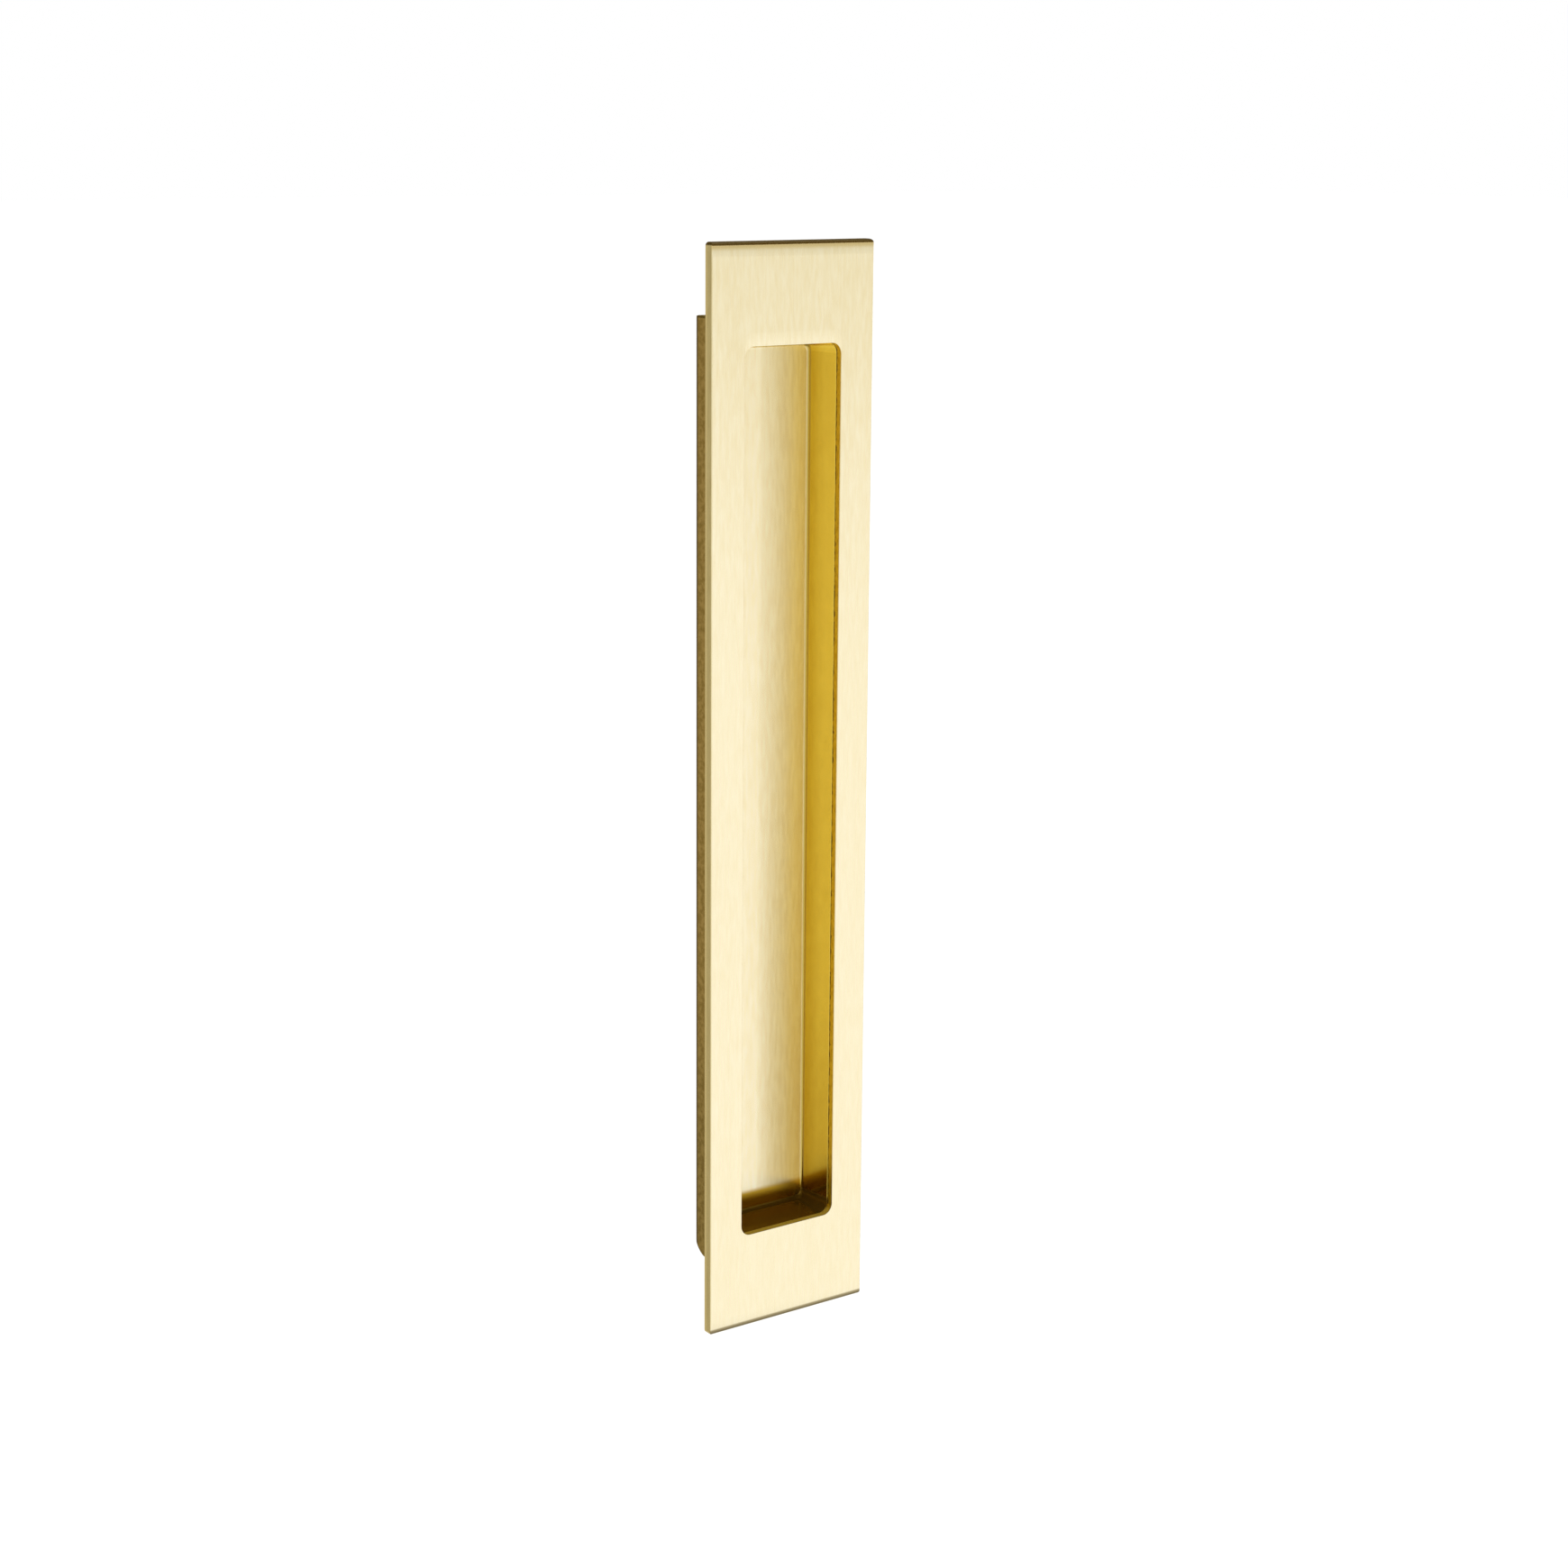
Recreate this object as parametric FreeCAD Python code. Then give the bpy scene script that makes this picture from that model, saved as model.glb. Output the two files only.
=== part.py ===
import FreeCAD
import Part

import math
import os

# Rectangular flush pull for a pocket door: a flat face plate with a long finger opening,
# and a cast pan brazed behind it. Sizes are in millimetres.
# +Z runs up along the plate, the front faces -Y, and the plate's rear face lies on Y = 0.

# Face plate
plate_length = 200.0
plate_width = 35.0
plate_thickness = 2.0
plate_corner_radius = 0.7
long_edge_radius = 0.2
# The grain runs end to end, so linishing rolls the face off a little towards both short ends.
end_roll_reach = 2.6
end_roll_radius = 24.0
end_edge_radius = 0.7

# Finger opening through the plate
opening_length = 164.0
opening_width = 21.0
opening_corner_radius = 2.0
# The same linishing dishes the mouth a little: well out from its two ends, barely at all along its sides.
mouth_roll_end = 2.3
mouth_roll_side = 0.1
mouth_roll_drop = 0.085

# Locating seat milled in the plate's rear face for the rim of the pan
seat_depth = 0.5
seat_clearance = 0.1

# Outside of the pan: how far it reaches past the opening, and behind the plate
pan_side = 4.0
pan_upper = 5.1
pan_lower = 5.4
pan_reach = 7.7
pan_corner_radius = 0.5
pan_edge_radius = 0.9
# Its lower rear edge is swept, and its upper one is as crisp as its sides.
pan_sweep_radius = 4.8

# Pocket cast in the pan, drafted so that the casting leaves its core
pocket_depth = 6.8
pocket_draft = 6.0
pocket_step = 0.05
pocket_floor_radius = 0.6
pocket_rim_break = 0.15

# Sections that stand for a round or a roll, and the room that a tool runs past the face it leaves through
round_steps = 4
tool_overrun = 1.0

X = FreeCAD.Vector(1, 0, 0)
Y = FreeCAD.Vector(0, 1, 0)
Z = FreeCAD.Vector(0, 0, 1)
FORWARD = FreeCAD.Vector(0, -1, 0)

opening_half_width = opening_width / 2
opening_half_length = opening_length / 2
pan_half_width = opening_half_width + pan_side
pan_top = opening_half_length + pan_upper
pan_bottom = -opening_half_length - pan_lower
rim = -seat_depth


def arc_points(centre, radius, start, turn, across, up):
    """Begin, middle and end of an arc that turns by turn degrees from the direction start degrees."""
    points = []
    for share in (0.0, 0.5, 1.0):
        angle = math.radians(start + turn * share)
        points.append(centre + across * (radius * math.cos(angle)) + up * (radius * math.sin(angle)))
    return points


def rounded_outline(low, high, radii, across, up, origin):
    """Rectangle from low to high with a radius of its own at each corner.

    The radii run anticlockwise from the corner at the high ends of both directions.
    A radius of zero leaves that corner square.
    """
    corners = (
        (high[0], high[1], -1, -1),
        (low[0], high[1], 1, -1),
        (low[0], low[1], 1, 1),
        (high[0], low[1], -1, 1),
    )
    edges = []
    first = None
    last = None
    for index, (a, b, in_a, in_b) in enumerate(corners):
        radius = radii[index]
        centre = origin + across * (a + in_a * radius) + up * (b + in_b * radius)
        begin, middle, end = arc_points(centre, radius, 90.0 * index, 90.0, across, up)
        if last is not None:
            edges.append(Part.LineSegment(last, begin).toShape())
        if radius > 0:
            edges.append(Part.Arc(begin, middle, end).toShape())
        if first is None:
            first = begin
        last = end
    edges.append(Part.LineSegment(last, first).toShape())
    return Part.Wire(edges)


def front_outline(half_width, bottom, top, radius, depth):
    """Rounded rectangle as seen from the front, at the given depth."""
    return rounded_outline((-half_width, bottom), (half_width, top), (radius,) * 4, X, Z, Y * depth)


def opening_outline(grown, depth):
    """Outline of the finger opening, grown by the given amount all round."""
    half_length = opening_half_length + grown
    return front_outline(opening_half_width + grown, -half_length, half_length,
                         opening_corner_radius + grown, depth)


def front_prism(outline, front, back):
    """Block that runs straight back from an outline at the depth front."""
    return Part.Face(outline).extrude(Y * (back - front))


def rolled_end(sign):
    """Two arcs at one end of the face: the long shallow roll, and the round that follows it."""
    out = Z * sign
    between = end_roll_radius - end_edge_radius
    turn = math.degrees(math.asin((end_roll_reach - end_edge_radius) / between))
    roll_centre = Y * (end_roll_radius - plate_thickness) + out * (plate_length / 2 - end_roll_reach)
    edge_centre = arc_points(roll_centre, between, 0.0, turn, FORWARD, out)[-1]
    roll = arc_points(roll_centre, end_roll_radius, 0.0, turn, FORWARD, out)
    edge = arc_points(edge_centre, end_edge_radius, turn, 90.0 - turn, FORWARD, out)
    return roll, edge


def plate_side_profile():
    """Plate seen from the side: flat rear, square ends, face rolled off at both ends."""
    upper_roll, upper_edge = rolled_end(1)
    lower_roll, lower_edge = rolled_end(-1)
    rear_top = Z * (plate_length / 2)
    rear_bottom = Z * (-plate_length / 2)
    return Part.Wire([
        Part.LineSegment(lower_roll[0], upper_roll[0]).toShape(),
        Part.Arc(*upper_roll).toShape(),
        Part.Arc(*upper_edge).toShape(),
        Part.LineSegment(upper_edge[-1], rear_top).toShape(),
        Part.LineSegment(rear_top, rear_bottom).toShape(),
        Part.LineSegment(rear_bottom, lower_edge[-1]).toShape(),
        Part.Arc(*reversed(lower_edge)).toShape(),
        Part.Arc(*reversed(lower_roll)).toShape(),
    ])


def plate_blank():
    """Plate before the opening is cut."""
    half_width = plate_width / 2
    half_length = plate_length / 2
    side = Part.Face(plate_side_profile()).extrude(X * plate_width)
    side.translate(X * -half_width)
    outline = front_outline(half_width, -half_length, half_length, plate_corner_radius, -plate_thickness)
    front = front_prism(outline, -plate_thickness, 0.0)
    eased = rounded_outline((-half_width, -plate_thickness), (half_width, 0.0),
                            (0.0, 0.0, long_edge_radius, long_edge_radius), X, Y, Z * -half_length)
    section = Part.Face(eased).extrude(Z * plate_length)
    return side.common(front).common(section)


def opening_tool():
    """Straight cut of the opening, right through the plate."""
    start = -plate_thickness - tool_overrun
    return front_prism(opening_outline(0.0, start), start, tool_overrun)


def mouth_tool():
    """Shallow roll that leads the face into the opening, long at the two ends and short along the sides."""
    sections = []
    for step in range(round_steps):
        share = step / (round_steps - 1)
        half_width = opening_half_width + mouth_roll_side * (1 - share)
        half_length = opening_half_length + mouth_roll_end * (1 - share)
        radius = opening_corner_radius + mouth_roll_side * (1 - share)
        depth = mouth_roll_drop * share ** 2 - plate_thickness
        sections.append(front_outline(half_width, -half_length, half_length, radius, depth))
    return Part.makeLoft(sections, True, False)


def pan_outline(grown, depth):
    """Outline of the pan seen from the front, grown by the given amount all round."""
    return front_outline(pan_half_width + grown, pan_bottom - grown, pan_top + grown,
                         pan_corner_radius + grown, depth)


def seat_tool():
    """Shallow pocket in the plate's rear face that locates the pan's rim."""
    return front_prism(pan_outline(seat_clearance, rim), rim, tool_overrun)


def face_plate():
    plate = plate_blank()
    for tool in (opening_tool(), mouth_tool(), seat_tool()):
        plate = plate.cut(tool)
    return plate


def pan_blank():
    """Pan before its pocket: long rear edges rounded, lower rear edge swept."""
    section = rounded_outline((-pan_half_width, rim), (pan_half_width, pan_reach),
                              (pan_edge_radius, pan_edge_radius, 0.0, 0.0), X, Y, Z * pan_bottom)
    along = Part.Face(section).extrude(Z * (pan_top - pan_bottom))
    profile = rounded_outline((pan_bottom, rim), (pan_top, pan_reach),
                              (pan_edge_radius, pan_sweep_radius, 0.0, 0.0), Z, Y, X * -pan_half_width)
    across = Part.Face(profile).extrude(X * (2 * pan_half_width))
    front = front_prism(pan_outline(0.0, rim), rim, pan_reach)
    return along.common(across).common(front)


def pocket_grown(depth):
    """How far the pocket's drafted wall stands outside the opening's edge at the given depth."""
    return pocket_step - (depth - rim) * math.tan(math.radians(pocket_draft))


def pocket_walls():
    """Drafted part of the pocket, from the rim to where the floor's round begins."""
    round_start = pocket_depth - pocket_floor_radius
    outlines = [opening_outline(pocket_grown(depth), depth) for depth in (rim, round_start)]
    return Part.makeLoft(outlines, True, True)


def pocket_floor():
    """Last part of the pocket, where the walls turn into the floor."""
    round_start = pocket_depth - pocket_floor_radius
    outlines = []
    for step in range(round_steps):
        angle = math.radians(90.0 * step / (round_steps - 1))
        grown = pocket_grown(round_start) - pocket_floor_radius * (1 - math.cos(angle))
        outlines.append(opening_outline(grown, round_start + pocket_floor_radius * math.sin(angle)))
    return Part.makeLoft(outlines, True, False)


def rim_break_tool():
    """Small bevel around the pocket's edge at the rim."""
    inner = rim + pocket_rim_break
    outlines = [
        opening_outline(pocket_step + pocket_rim_break, rim),
        opening_outline(pocket_grown(inner), inner),
    ]
    return Part.makeLoft(outlines, True, True)


def recess_pan():
    pan = pan_blank()
    for tool in (pocket_walls(), pocket_floor(), rim_break_tool()):
        pan = pan.cut(tool)
    return pan


def single_solid(shape):
    """The one solid of a finished piece, with the seams between flush faces removed."""
    return shape.removeSplitter().Solids[0]


os.makedirs("parts", exist_ok=True)
single_solid(face_plate()).exportStep("parts/face_plate.step")
single_solid(recess_pan()).exportStep("parts/recess_pan.step")
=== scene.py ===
import math

import bpy
from mathutils import Matrix, Vector

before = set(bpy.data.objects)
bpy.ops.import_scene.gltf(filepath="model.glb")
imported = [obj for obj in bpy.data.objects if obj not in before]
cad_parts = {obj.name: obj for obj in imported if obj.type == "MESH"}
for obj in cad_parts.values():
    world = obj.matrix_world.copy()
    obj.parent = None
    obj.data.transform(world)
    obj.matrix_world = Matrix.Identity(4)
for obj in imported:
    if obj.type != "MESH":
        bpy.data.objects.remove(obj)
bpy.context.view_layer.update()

MM = 0.001


def box_of(node):
    """Lowest and highest corner of one node of the frame, in millimetres."""
    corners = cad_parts[node].bound_box
    low = [min(corner[axis] for corner in corners) / MM for axis in range(3)]
    high = [max(corner[axis] for corner in corners) / MM for axis in range(3)]
    return low, high


# Places on the part, in millimetres. X runs across it, Y from the face into the door, Z up along it.
plate_low, plate_high = box_of("face_plate")
FACE = plate_low[1]
PLATE_END = plate_high[2]
PAN_SIDE, PAN_REAR, PAN_TOP = box_of("recess_pan")[1]
# The finger opening and the floor of the pocket lie inside those boxes.
OPENING_SIDE = 10.5
OPENING_END = 82.0
POCKET_FLOOR = 6.8

BLACK = (0.0, 0.0, 0.0, 1.0)


class Nodes:
    """Short way to build a node tree."""

    def __init__(self, tree):
        self.tree = tree
        tree.nodes.clear()

    def add(self, kind, inputs=None, **settings):
        node = self.tree.nodes.new(kind)
        for name, value in settings.items():
            setattr(node, name, value)
        for name, value in (inputs or {}).items():
            self.put(node.inputs[name], value)
        return node

    def put(self, socket, value):
        if isinstance(value, bpy.types.NodeSocket):
            self.tree.links.new(value, socket)
        else:
            socket.default_value = value

    def math(self, operation, a, b=None):
        node = self.add("ShaderNodeMath", operation=operation)
        self.put(node.inputs[0], a)
        if b is not None:
            self.put(node.inputs[1], b)
        return node.outputs[0]

    def plus(self, a, b):
        return self.math("ADD", a, b)

    def times(self, a, b):
        return self.math("MULTIPLY", a, b)

    def either(self, a, b):
        return self.math("MAXIMUM", a, b)

    def vector(self, operation, output, a, b=None):
        node = self.add("ShaderNodeVectorMath", operation=operation)
        self.put(node.inputs[0], a)
        if b is not None:
            self.put(node.inputs[1], b)
        return node.outputs[output]

    def ramp(self, value, span, levels=(0.0, 1.0)):
        """Passes smoothly from one level to the other while the value crosses the span."""
        node = self.add("ShaderNodeMapRange", {
            "Value": value,
            "From Min": span[0],
            "From Max": span[1],
            "To Min": levels[0],
            "To Max": levels[1],
        }, interpolation_type="SMOOTHSTEP")
        return node.outputs["Result"]

    def along(self, coordinate, start, end, levels):
        """Passes from one level to the other between two places on the part, in millimetres."""
        return self.ramp(coordinate, (start * MM, end * MM), levels)

    def beyond(self, coordinate, start, end):
        """0 before two places on the part, and 1 beyond them."""
        return self.along(coordinate, start, end, (0.0, 1.0))

    def before(self, coordinate, start, end):
        """1 before two places on the part, and 0 beyond them."""
        return self.along(coordinate, start, end, (1.0, 0.0))

    def within(self, coordinate, limit, soft):
        """1 as far as the limit to either side of the middle, and 0 outside it, with a soft edge."""
        return self.before(self.math("ABSOLUTE", coordinate), limit - soft, limit + soft)

    def mix(self, factor, a, b):
        """Mix of two colours."""
        node = self.add("ShaderNodeMix", data_type="RGBA")
        self.put(node.inputs[0], factor)
        self.put(node.inputs[6], a)
        self.put(node.inputs[7], b)
        return node.outputs[2]

    def blend(self, factor, a, b):
        """Mix of two numbers."""
        node = self.add("ShaderNodeMix", data_type="FLOAT")
        self.put(node.inputs[0], factor)
        self.put(node.inputs[2], a)
        self.put(node.inputs[3], b)
        return node.outputs[0]

    def noise(self, place, layer):
        scale, squeeze, detail, roughness = layer
        stretched = self.add("ShaderNodeMapping", {"Vector": place, "Scale": (1.0, 1.0, squeeze)})
        node = self.add("ShaderNodeTexNoise", {
            "Vector": stretched.outputs["Vector"],
            "Scale": scale,
            "Detail": detail,
            "Roughness": roughness,
        })
        return node.outputs["Fac"]


# Layers of noise: scale per metre across the grain, squeeze along it, detail and roughness.
HAIRLINES = (9000.0, 0.012, 3.0, 0.6)
STREAKS = (1500.0, 0.16, 2.0, 0.5)
BANDS = (320.0, 0.05, 2.0, 0.5)
RAGGED = (2200.0, 0.35, 3.0, 0.6)
MOTTLE = (260.0, 1.0, 3.0, 0.55)
PITS = (900.0, 1.0, 3.0, 0.6)

# Share of the streaks in the grain's tone, and its contrast: on the face low down and high up, and on the
# pocket's floor.
STREAK_SHARE = 0.7
FACE_CONTRAST = (2.2, 4.0)
FLOOR_CONTRAST = 4.0

# How deep the hairlines are and how far the seam round the opening wanders, in millimetres.
HAIRLINE_DEPTH = 0.02
HAIRLINE_STRENGTH = 0.2
SEAM_SWING = 2.0

# Roughness of the brushed surfaces: the least, and what the hairlines add to it at most.
FACE_ROUGHNESS = (0.24, 0.08)
FLOOR_ROUGHNESS = (0.22, 0.06)
# Roughness of the others, to which the pan's mottling adds a little.
CUT_ROUGHNESS = 0.36
CUT_LOWER_ROUGHNESS = 0.85
CAST_ROUGHNESS = 0.34
WALL_ROUGHNESS = 0.10
CORNER_ROUGHNESS = 0.3
MOTTLE_ROUGHNESS = 0.08
# Spread of the highlights across the grain.
FACE_SPREAD = 0.95
FLOOR_SPREAD = 1.0
UNBRUSHED_SPREAD = 0.5
# Share of the colour that is dull and not metallic.
CUT_LOWER_DULL = 0.85
END_WALL_DULL = 0.06
CORNER_DULL = 0.20


def brass(name, look):
    material = bpy.data.materials.new(name)
    material.use_nodes = True
    nodes = Nodes(material.node_tree)
    place = nodes.add("ShaderNodeTexCoord").outputs["Object"]
    xyz = nodes.add("ShaderNodeSeparateXYZ", {"Vector": place})
    shader = nodes.add("ShaderNodeBsdfPrincipled", {"Metallic": 1.0})
    output = nodes.add("ShaderNodeOutputMaterial")
    nodes.put(output.inputs["Surface"], shader.outputs["BSDF"])
    look(nodes, shader.inputs, place, xyz.outputs)
    return material


def brushed_tone(nodes, place, contrast):
    """Tone of brushed brass around one half: short streaks that the eye sees, and faint broad bands."""
    streaks = nodes.times(nodes.noise(place, STREAKS), STREAK_SHARE)
    bands = nodes.times(nodes.noise(place, BANDS), 1.0 - STREAK_SHARE)
    from_middle = nodes.math("SUBTRACT", nodes.plus(streaks, bands), 0.5)
    return nodes.plus(nodes.times(from_middle, contrast), 0.5)


def brushed_roughness(nodes, hairlines, levels):
    base, added = levels
    return nodes.plus(nodes.times(hairlines, added), base)


def brush_surface(nodes, shader, height):
    """Hairlines in the surface, and highlights spread across them on faces to the front and sides alike."""
    across_grain = nodes.add("ShaderNodeCombineXYZ", {"X": 1.0, "Y": 1.0, "Z": 0.0})
    nodes.put(shader["Tangent"], across_grain.outputs["Vector"])
    bump = nodes.add("ShaderNodeBump", {
        "Height": height,
        "Strength": HAIRLINE_STRENGTH,
        "Distance": HAIRLINE_DEPTH * MM,
    })
    nodes.put(shader["Normal"], bump.outputs["Normal"])


# Colours of the brass. Tones are the darker and the lighter side of a grain or of a rough skin.
FACE_TONES = ((0.955, 0.84, 0.555, 1.0), (1.0, 0.91, 0.655, 1.0))

# Painted shade on the plate's upper roll, and a painted golden reflection on the round at its very end.
UPPER_ROLL_PAINTED_SHADE = (0.88, 0.72, 0.38, 1.0)
UPPER_ROUND_PAINTED_REFLECTION = (1.0, 0.80, 0.42, 1.0)
# Painted shade on the round along the plate's lower end.
LOWER_ROUND_PAINTED_SHADE = (0.36, 0.29, 0.155, 1.0)
SIDE_TONES = ((0.72, 0.61, 0.36, 1.0), (0.84, 0.73, 0.46, 1.0))
SIDE_REAR = (0.98, 0.84, 0.52, 1.0)
CUT_TONES = ((0.62, 0.38, 0.012, 1.0), (0.80, 0.54, 0.03, 1.0))
CUT_SEAM = (0.20, 0.11, 0.01, 1.0)
CUT_LOWER = (0.86, 0.58, 0.05, 1.0)


def face_colour(nodes, xyz, tone):
    """Brushed face, with painted shade and a painted golden reflection on its upper rolled end, and painted
    shade on its lower one.
    """
    face = nodes.mix(tone, *FACE_TONES)
    # Painted shade and a painted golden reflection at the upper end.
    painted_shade_upper_roll = nodes.beyond(xyz["Z"], PLATE_END - 1.7, PLATE_END - 0.9)
    painted_reflection_upper_round = nodes.beyond(xyz["Z"], PLATE_END - 0.9, PLATE_END - 0.6)
    # Painted shade along the lower end.
    painted_shade_lower_round = nodes.before(xyz["Z"], -PLATE_END + 0.8, -PLATE_END + 1.25)
    face = nodes.mix(painted_shade_upper_roll, face, UPPER_ROLL_PAINTED_SHADE)
    face = nodes.mix(painted_reflection_upper_round, face, UPPER_ROUND_PAINTED_REFLECTION)
    return nodes.mix(painted_shade_lower_round, face, LOWER_ROUND_PAINTED_SHADE)


def side_colour(nodes, xyz, tone):
    side = nodes.mix(tone, *SIDE_TONES)
    return nodes.mix(nodes.beyond(xyz["Y"], -0.8, -0.4), side, SIDE_REAR)


def cut_colour(nodes, xyz, place, lower_cut):
    """Edge of the opening: patchy, with a dark ragged seam where it meets the pan."""
    ragged = nodes.noise(place, RAGGED)
    cut = nodes.mix(nodes.ramp(ragged, (0.35, 0.60)), *CUT_TONES)
    swing = nodes.times(nodes.math("SUBTRACT", ragged, 0.5), SEAM_SWING * MM)
    seam = nodes.beyond(nodes.plus(xyz["Y"], swing), -0.85, -0.60)
    cut = nodes.mix(seam, cut, CUT_SEAM)
    return nodes.mix(lower_cut, cut, CUT_LOWER)


def plate_look(nodes, shader, place, xyz):
    """Face plate: brushed all over, but for the edge of the opening."""
    off_face = nodes.beyond(xyz["Y"], FACE + 0.15, FACE + 0.28)
    in_mouth = nodes.times(nodes.within(xyz["X"], OPENING_SIDE + 1.0, 0.4),
                           nodes.within(xyz["Z"], OPENING_END + 2.0, 0.8))
    on_cut = nodes.times(in_mouth, off_face)
    lower_cut = nodes.before(xyz["Z"], -OPENING_END + 0.4, -OPENING_END + 1.4)

    hairlines = nodes.noise(place, HAIRLINES)
    contrast = nodes.along(xyz["Z"], 10.0, PLATE_END - 10.0, FACE_CONTRAST)
    tone = brushed_tone(nodes, place, contrast)
    outside = nodes.mix(off_face, face_colour(nodes, xyz, tone), side_colour(nodes, xyz, tone))
    cut = cut_colour(nodes, xyz, place, lower_cut)
    nodes.put(shader["Base Color"], nodes.mix(on_cut, outside, cut))

    cut_roughness = nodes.blend(lower_cut, CUT_ROUGHNESS, CUT_LOWER_ROUGHNESS)
    roughness = nodes.blend(on_cut, brushed_roughness(nodes, hairlines, FACE_ROUGHNESS), cut_roughness)
    nodes.put(shader["Roughness"], roughness)
    dull = nodes.times(nodes.times(lower_cut, on_cut), CUT_LOWER_DULL)
    nodes.put(shader["Metallic"], nodes.math("SUBTRACT", 1.0, dull))
    nodes.put(shader["Anisotropic"], FACE_SPREAD)
    brush_surface(nodes, shader, hairlines)


# Painted shade on the pocket's floor: a step in tone, then darker towards the right wall.
PAINTED_SHADE_NEAR_STEP_TONES = ((0.90, 0.785, 0.50, 1.0), (0.94, 0.845, 0.585, 1.0))
PAINTED_SHADE_NEAR_WALL_UPPER_TONES = ((0.81, 0.68, 0.39, 1.0), (0.87, 0.76, 0.465, 1.0))
PAINTED_SHADE_NEAR_WALL_LOWER_TONES = ((0.735, 0.60, 0.315, 1.0), (0.795, 0.68, 0.385, 1.0))
# Painted shade at the lower end of the pocket's floor.
FLOOR_SHADED = (0.58, 0.36, 0.03, 1.0)
FLOOR_PAINTED_SHADE_LOW = (0.66, 0.42, 0.03, 1.0)
# Side walls: their own colour at the rim, with painted shade deeper in and towards the lower end.
WALL_RIM_TONES = ((0.93, 0.74, 0.125, 1.0), (1.0, 0.80, 0.155, 1.0))
WALL_PAINTED_SHADE_DEEP_TONES = ((0.72, 0.50, 0.036, 1.0), (0.80, 0.57, 0.052, 1.0))
WALL_PAINTED_SHADE_LOW = (0.42, 0.26, 0.01, 1.0)
END_WALL = (0.98, 0.68, 0.07, 1.0)
# Painted shade on the rounds between floor and walls, darkest at the lower end.
PAINTED_SHADE_FLOOR_ROUND = (0.57, 0.43, 0.11, 1.0)
PAINTED_SHADE_FLOOR_ROUND_AT_END = (0.24, 0.14, 0.012, 1.0)
# Painted shade in the lower right corner of the pocket.
PAINTED_SHADE_CORNER = (0.28, 0.165, 0.015, 1.0)
CAST_TONES = ((0.38, 0.26, 0.07, 1.0), (0.54, 0.385, 0.14, 1.0))
CAST_LOWER_TONES = ((0.29, 0.20, 0.05, 1.0), (0.44, 0.32, 0.11, 1.0))
# Painted shade along the pan's long rear edges.
REAR_ROUND_PAINTED_SHADE = (0.13, 0.08, 0.018, 1.0)
# Painted highlight along the pan's top edge.
PAN_TOP_EDGE_PAINTED_HIGHLIGHT = (1.0, 0.88, 0.42, 1.0)


def floor_colour(nodes, xyz, place):
    """Brushed floor with painted shade: a step in tone near its middle, then darker towards the right wall
    and the lower end.
    """
    tone = brushed_tone(nodes, place, FLOOR_CONTRAST)
    # The step and the darkening towards the right wall are painted shade.
    shaded_near_step = nodes.mix(tone, *PAINTED_SHADE_NEAR_STEP_TONES)
    shaded_near_wall = nodes.mix(nodes.beyond(xyz["Z"], -50.0, 40.0),
                          nodes.mix(tone, *PAINTED_SHADE_NEAR_WALL_LOWER_TONES), nodes.mix(tone, *PAINTED_SHADE_NEAR_WALL_UPPER_TONES))
    floor = nodes.mix(nodes.beyond(xyz["X"], -1.2, -0.1), nodes.mix(tone, *FACE_TONES), shaded_near_step)
    floor = nodes.mix(nodes.beyond(xyz["X"], -1.5, 4.0), floor, shaded_near_wall)
    # Painted shade at the floor's lower end, a little less dark over the last few millimetres.
    shaded = nodes.before(xyz["Z"], -OPENING_END + 4.0, -OPENING_END + 5.2)
    low = nodes.before(xyz["Z"], -OPENING_END + 3.1, -OPENING_END + 3.7)
    return nodes.mix(low, nodes.mix(shaded, floor, FLOOR_SHADED), FLOOR_PAINTED_SHADE_LOW)


def wall_colour(nodes, xyz, mottled, lower_end):
    """Smooth side walls, with painted shade: darker towards the floor and the lower end."""
    # Painted shade deeper in, towards the floor.
    wall = nodes.mix(nodes.beyond(xyz["Y"], 1.5, POCKET_FLOOR - 0.2),
                     nodes.mix(mottled, *WALL_RIM_TONES), nodes.mix(mottled, *WALL_PAINTED_SHADE_DEEP_TONES))
    # Painted shade towards the lower end.
    wall = nodes.mix(nodes.along(xyz["Z"], -75.0, -35.0, (0.3, 0.0)), wall, WALL_PAINTED_SHADE_LOW)
    return nodes.mix(lower_end, wall, END_WALL)


def cast_colour(nodes, xyz, place):
    """Rough outside of the pan, darker low down, with painted shade along its long rear edges and a painted
    highlight along its top edge.
    """
    pitted = nodes.ramp(nodes.noise(place, PITS), (0.35, 0.65))
    cast = nodes.mix(nodes.before(xyz["Z"], -75.0, -20.0),
                     nodes.mix(pitted, *CAST_TONES), nodes.mix(pitted, *CAST_LOWER_TONES))
    off_rear_face = nodes.math("SUBTRACT", 1.0, nodes.within(xyz["X"], PAN_SIDE - 1.1, 0.3))
    # Painted shade along the long rear edges.
    painted_shade_rear_round = nodes.times(nodes.beyond(xyz["Y"], PAN_REAR - 1.4, PAN_REAR - 0.7), off_rear_face)
    cast = nodes.mix(painted_shade_rear_round, cast, REAR_ROUND_PAINTED_SHADE)
    # Painted highlight along the top edge.
    return nodes.mix(nodes.beyond(xyz["Z"], PAN_TOP - 0.5, PAN_TOP - 0.1), cast, PAN_TOP_EDGE_PAINTED_HIGHLIGHT)


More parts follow.
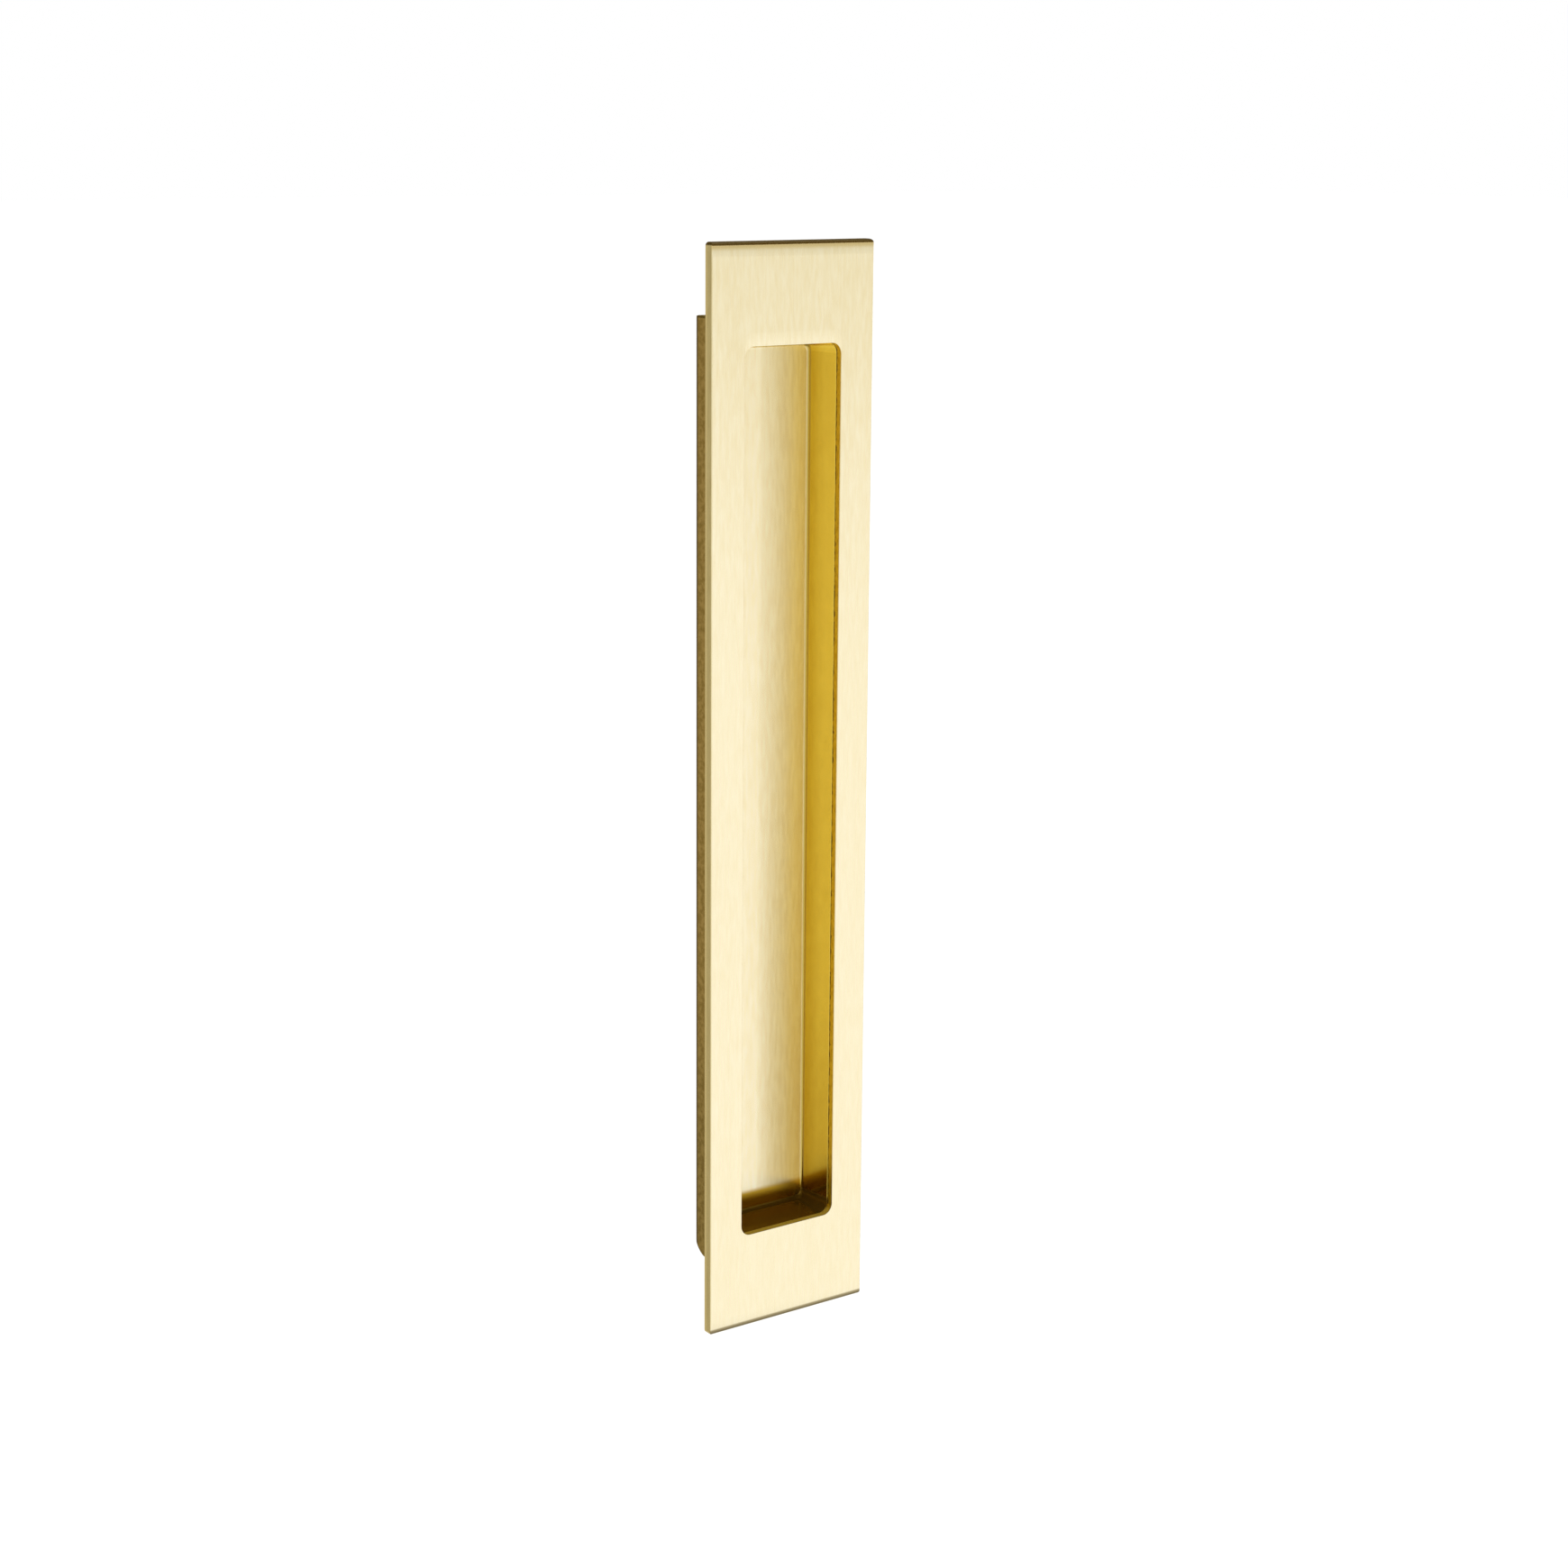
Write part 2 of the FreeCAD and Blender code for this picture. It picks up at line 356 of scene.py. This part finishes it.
def pan_look(nodes, shader, place, xyz):
    """Recess pan: brushed floor, smooth walls and a rough cast outside."""
    in_opening = nodes.times(nodes.within(xyz["X"], OPENING_SIDE + 1.5, 0.5),
                             nodes.within(xyz["Z"], OPENING_END + 1.5, 0.5))
    inside = nodes.times(in_opening, nodes.before(xyz["Y"], POCKET_FLOOR + 0.2, POCKET_FLOOR + 0.6))
    lower_end = nodes.before(xyz["Z"], -OPENING_END + 1.25, -OPENING_END + 1.45)
    off_wall = nodes.times(nodes.beyond(xyz["Y"], POCKET_FLOOR - 0.70, POCKET_FLOOR - 0.55), inside)

    # The round at the upper end of the floor is brushed with it, and the one at the lower end isn't.
    upper_end = nodes.times(nodes.beyond(xyz["Z"], OPENING_END - 1.6, OPENING_END - 1.2),
                            nodes.within(xyz["X"], OPENING_SIDE - 1.8, 0.3))
    flat = nodes.beyond(xyz["Y"], POCKET_FLOOR - 0.10, POCKET_FLOOR - 0.01)
    brushed = nodes.either(nodes.times(flat, inside), nodes.times(upper_end, inside))
    brushed = nodes.times(brushed, nodes.math("SUBTRACT", 1.0, lower_end))

    # Lower right corner of the pocket, where floor and walls meet: painted shade.
    corner = nodes.times(nodes.beyond(xyz["X"], OPENING_SIDE - 2.7, OPENING_SIDE - 1.9),
                         nodes.before(xyz["Z"], -OPENING_END + 2.2, -OPENING_END + 3.0))
    corner = nodes.times(corner, inside)

    mottled = nodes.noise(place, MOTTLE)
    # Painted shade on the rounds between floor and walls, darkest at the lower end.
    shaded_round_colour = nodes.mix(lower_end, PAINTED_SHADE_FLOOR_ROUND, PAINTED_SHADE_FLOOR_ROUND_AT_END)
    smooth_colour = nodes.mix(off_wall, wall_colour(nodes, xyz, mottled, lower_end), shaded_round_colour)
    pocket = nodes.mix(brushed, smooth_colour, floor_colour(nodes, xyz, place))
    pocket = nodes.mix(corner, pocket, PAINTED_SHADE_CORNER)
    nodes.put(shader["Base Color"], nodes.mix(inside, cast_colour(nodes, xyz, place), pocket))

    hairlines = nodes.noise(place, HAIRLINES)
    unbrushed = nodes.plus(nodes.blend(inside, CAST_ROUGHNESS, WALL_ROUGHNESS),
                           nodes.times(mottled, MOTTLE_ROUGHNESS))
    rougher = nodes.times(nodes.either(nodes.times(off_wall, lower_end), corner), CORNER_ROUGHNESS)
    unbrushed = nodes.plus(unbrushed, rougher)
    roughness = nodes.blend(brushed, unbrushed, brushed_roughness(nodes, hairlines, FLOOR_ROUGHNESS))
    nodes.put(shader["Roughness"], roughness)

    dull_end = nodes.times(nodes.times(lower_end, inside), nodes.blend(off_wall, END_WALL_DULL, CORNER_DULL))
    dull = nodes.either(dull_end, nodes.times(corner, CORNER_DULL))
    nodes.put(shader["Metallic"], nodes.math("SUBTRACT", 1.0, dull))
    nodes.put(shader["Anisotropic"], nodes.blend(brushed, UNBRUSHED_SPREAD, FLOOR_SPREAD))
    brush_surface(nodes, shader, nodes.times(hairlines, brushed))


def dress(node, material):
    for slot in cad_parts[node].material_slots:
        slot.material = material


dress("face_plate", brass("face_plate_brushed_brass", plate_look))
dress("recess_pan", brass("recess_pan_brass", pan_look))


# Studio: a pale floor well below the hanging part and white behind it, with a painted shadow under the part,
# a little dimmer far off in front and to the left, and dark and warm above. Lengths are in metres.
FLOOR_HEIGHT = -0.30
FLOOR_REACH = 14.0
FLOOR_DIFFUSE = 0.8
FLOOR_GLOW = 0.67
# Painted shadow on the floor round the place under the part.
PAINTED_SHADOW_CENTRE = (0.08, -0.11, 0.0)
PAINTED_SHADOW_REACH = (0.12, 0.27)
PAINTED_SHADOW_LEVELS = (0.5, 1.0)
FRONT_SETS_IN = (1.2, 6.0)
CEILING_HEIGHT = (0.100, 0.270)
CEILING_LEVELS = (1.0, 0.085)
FILL = (0.5, 0.5, 0.5, 1.0)
WARM_GREEN = 1.17
WARM_BLUE = 1.9

# Sectors of the surroundings: their middle as a compass direction, the cosine to it over which a sector sets
# in, and its level, where 1 is like all around.
FRONT = (0.0, -1.0, 0.0)
DIM_FRONT = (FRONT, (0.2, 0.6), 0.90)
DIM_LEFT_FRONT = ((-0.75, -0.66, 0.0), (0.70, 0.92), 0.85)
DIM_LEFT_BACK = ((-0.80, 0.60, 0.0), (0.70, 0.92), 0.45)
LOWER_CEILING_IN_FRONT = (FRONT, (-0.2, 0.4), 2.5)


def seen_directly(nodes):
    """1 for a ray from the camera, or one mirrored or passed on by the part."""
    path = nodes.add("ShaderNodeLightPath").outputs
    mirrored = nodes.either(path["Is Glossy Ray"], path["Is Transmission Ray"])
    return nodes.either(path["Is Camera Ray"], mirrored)


def sector_level(nodes, direction, sector):
    middle, sets_in, level = sector
    return nodes.ramp(nodes.vector("DOT_PRODUCT", "Value", direction, middle), sets_in, (1.0, level))


def side_level(nodes, direction):
    return nodes.times(sector_level(nodes, direction, DIM_LEFT_FRONT),
                       sector_level(nodes, direction, DIM_LEFT_BACK))


def warm(nodes, level):
    """Colour of the surroundings: white where they are bright, and warmer the dimmer they are."""
    node = nodes.add("ShaderNodeCombineColor", {
        "Red": level,
        "Green": nodes.math("POWER", level, WARM_GREEN),
        "Blue": nodes.math("POWER", level, WARM_BLUE),
    })
    return node.outputs["Color"]


def floor_material():
    material = bpy.data.materials.new("studio_floor")
    material.use_nodes = True
    nodes = Nodes(material.node_tree)
    place = nodes.add("ShaderNodeTexCoord").outputs["Object"]
    flat = nodes.vector("MULTIPLY", "Vector", place, (1.0, 1.0, 0.0))
    direction = nodes.vector("NORMALIZE", "Vector", flat)
    far_off = nodes.ramp(nodes.vector("LENGTH", "Value", flat), FRONT_SETS_IN)
    front = nodes.blend(far_off, 1.0, sector_level(nodes, direction, DIM_FRONT))
    colour = warm(nodes, nodes.times(front, side_level(nodes, direction)))
    # Painted shadow: the floor is darker round the place under the part.
    shade = nodes.ramp(nodes.vector("DISTANCE", "Value", flat, PAINTED_SHADOW_CENTRE), PAINTED_SHADOW_REACH, PAINTED_SHADOW_LEVELS)
    colour = nodes.mix(shade, BLACK, colour)

    body = nodes.add("ShaderNodeBsdfDiffuse", {"Color": nodes.mix(FLOOR_DIFFUSE, BLACK, colour)})
    glow = nodes.add("ShaderNodeEmission", {
        "Color": colour,
        "Strength": nodes.times(seen_directly(nodes), FLOOR_GLOW),
    })
    both = nodes.add("ShaderNodeAddShader", {0: body.outputs["BSDF"], 1: glow.outputs["Emission"]})
    nodes.add("ShaderNodeOutputMaterial", {"Surface": both.outputs["Shader"]})
    return material


def studio_floor():
    corners = [(-1, -1), (1, -1), (1, 1), (-1, 1)]
    places = [(x * FLOOR_REACH, y * FLOOR_REACH, FLOOR_HEIGHT) for x, y in corners]
    mesh = bpy.data.meshes.new("studio_floor")
    mesh.from_pydata(places, [], [(0, 1, 2, 3)])
    mesh.materials.append(floor_material())
    floor = bpy.data.objects.new("studio_floor", mesh)
    bpy.context.scene.collection.objects.link(floor)


def studio_world():
    world = bpy.data.worlds.new("studio")
    bpy.context.scene.world = world
    world.use_nodes = True
    nodes = Nodes(world.node_tree)
    direction = nodes.add("ShaderNodeTexCoord").outputs["Generated"]
    height = nodes.add("ShaderNodeSeparateXYZ", {"Vector": direction}).outputs["Z"]
    height = nodes.times(height, sector_level(nodes, direction, LOWER_CEILING_IN_FRONT))
    ceiling = nodes.ramp(height, CEILING_HEIGHT, CEILING_LEVELS)
    level = nodes.times(ceiling, sector_level(nodes, direction, DIM_FRONT))
    level = nodes.times(level, side_level(nodes, direction))
    colour = nodes.mix(seen_directly(nodes), FILL, warm(nodes, level))
    background = nodes.add("ShaderNodeBackground", {"Color": colour, "Strength": 1.0})
    nodes.add("ShaderNodeOutputWorld", {"Surface": background.outputs["Background"]})


def softbox(name, place, target, size, energy):
    """Square area light that faces the target."""
    light = bpy.data.lights.new(name, "AREA")
    light.shape = "SQUARE"
    light.size = size
    light.energy = energy
    box = bpy.data.objects.new(name, light)
    box.location = place
    box.rotation_mode = "QUATERNION"
    box.rotation_quaternion = (Vector(target) - Vector(place)).to_track_quat("-Z", "Y")
    bpy.context.scene.collection.objects.link(box)


studio_floor()
studio_world()
softbox("overhead_softbox", (0.1, -0.2, 2.2), (0.0, 0.0, FLOOR_HEIGHT), 3.0, 3.0)


# Camera: a little higher than the plate's upper end, and to its left. Angles are in radians, lengths in
# millimetres, and the focal length and the width of the photograph in its pixels.
YAW = 0.6319
PITCH = 0.2245
ROLL = 0.0071
AIM_ACROSS = -0.003
AIM_UP = 2.552
DISTANCE = 527.80
FOCAL_LENGTH_PX = 3215.6
PHOTO_WIDTH_PX = 1740.0
SENSOR_WIDTH = 36.0


def camera():
    ahead = Vector((math.sin(YAW) * math.cos(PITCH), math.cos(YAW) * math.cos(PITCH), -math.sin(PITCH)))
    level = Vector((math.cos(YAW), -math.sin(YAW), 0.0))
    upright = level.cross(ahead)
    right = math.cos(ROLL) * level + math.sin(ROLL) * upright
    up = math.cos(ROLL) * upright - math.sin(ROLL) * level
    place = (right * AIM_ACROSS + up * AIM_UP - ahead * DISTANCE) * MM
    data = bpy.data.cameras.new("camera")
    data.sensor_width = SENSOR_WIDTH
    data.lens = FOCAL_LENGTH_PX / PHOTO_WIDTH_PX * SENSOR_WIDTH
    data.clip_start = 0.01
    data.clip_end = 100.0
    view = bpy.data.objects.new("camera", data)
    turned = Matrix((right, up, -ahead)).transposed()
    view.matrix_world = Matrix.Translation(place) @ turned.to_4x4()
    bpy.context.scene.collection.objects.link(view)
    bpy.context.scene.camera = view


camera()
bpy.context.scene.view_settings.view_transform = "Standard"
